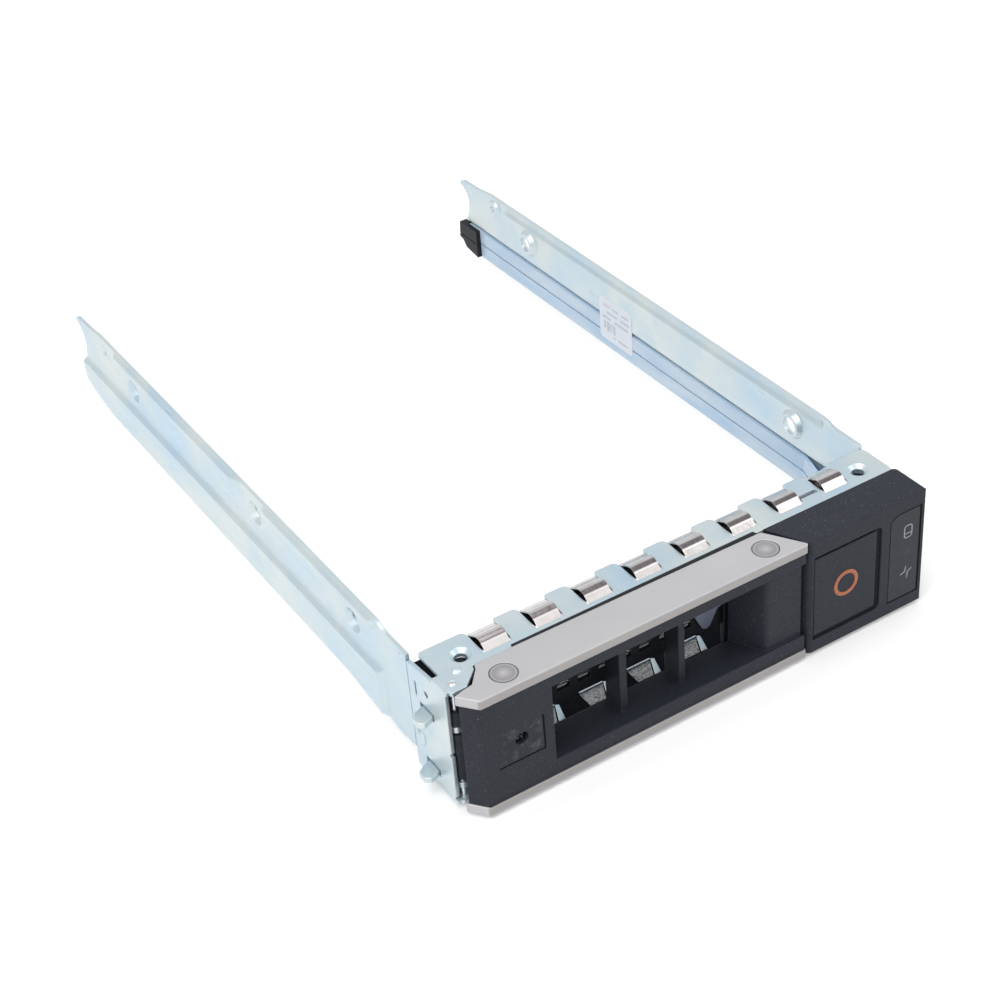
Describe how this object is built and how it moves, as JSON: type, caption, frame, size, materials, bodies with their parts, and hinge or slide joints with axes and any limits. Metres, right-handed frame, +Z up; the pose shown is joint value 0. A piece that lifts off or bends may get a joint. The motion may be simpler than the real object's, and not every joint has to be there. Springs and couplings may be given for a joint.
{
  "type": "hot swap drive caddy",
  "caption": "Folded steel drive caddy with two long side arms, a hinged front lever with claws, spring contact fingers and a push-button release block.",
  "frame": {"origin": "under the middle of the whole caddy, on the surface it stands on", "axes": "+Y back along the side arms, +X to the right along the front, +Z up"},
  "size_m": [0.111, 0.1742, 0.029],
  "materials": {
    "zinc_steel": "bright zinc plate, faint blue tint",
    "spring_steel": "polished thin spring steel",
    "satin_metal": "warm satin nickel",
    "black_plastic": "fine grained moulding",
    "dark_plastic": "plain moulding",
    "smoked_window": "smoked, with plain pale marks",
    "copper_ring": "copper coloured",
    "clear_plastic": "clear moulded light guide",
    "label_paper": "white film label with plain grey fields",
    "bright_steel": "plain bright steel"
  },
  "bodies": {
    "frame": {"front_frame": "zinc_steel", "vent_screen": "dark_plastic", "left_rail": "zinc_steel", "right_rail": "zinc_steel", "rail_rivets": "bright_steel", "upper_grounding_strip": "spring_steel", "lower_grounding_strip": "spring_steel", "status_light_pipe": "clear_plastic", "activity_light_pipe": "clear_plastic", "light_pipe_holder": "dark_plastic", "rail_label": "label_paper", "pivot_pin": "bright_steel", "lever_spring": "spring_steel", "bezel_block": "black_plastic", "indicator_window": "smoked_window", "bezel_screws": "bright_steel", "button_spring": "spring_steel"},
    "lever": {"lever_bracket": "zinc_steel", "lever_grip": "black_plastic", "upper_trim_plate": "satin_metal", "lower_trim_plate": "satin_metal", "lever_rivets": "satin_metal", "lever_screw": "bright_steel"},
    "button": {"release_button": "black_plastic", "button_ring": "copper_ring"},
    "latch": {"latch_slider": "dark_plastic"}
  },
  "joints": [
    {"name": "lever_hinge", "type": "hinge", "parent": "frame", "child": "lever", "pos_m": [-0.0499, -0.0797, 0.0145], "axis": [0, 0, -1], "range_deg": [0, 40]},
    {"name": "button_press", "type": "slide", "parent": "frame", "child": "button", "axis": [0, 1, 0], "range_m": [0, 0.002], "stiffness_N_per_m": 500, "springref_m": -0.001, "deforming": ["button_spring"]},
    {"name": "latch_slide", "type": "slide", "parent": "frame", "child": "latch", "axis": [1, 0, 0], "range_m": [0, 0.002]}
  ],
  "couplings": [
    {"joint": "latch_slide", "follows": "button_press", "ratio": 1}
  ]
}
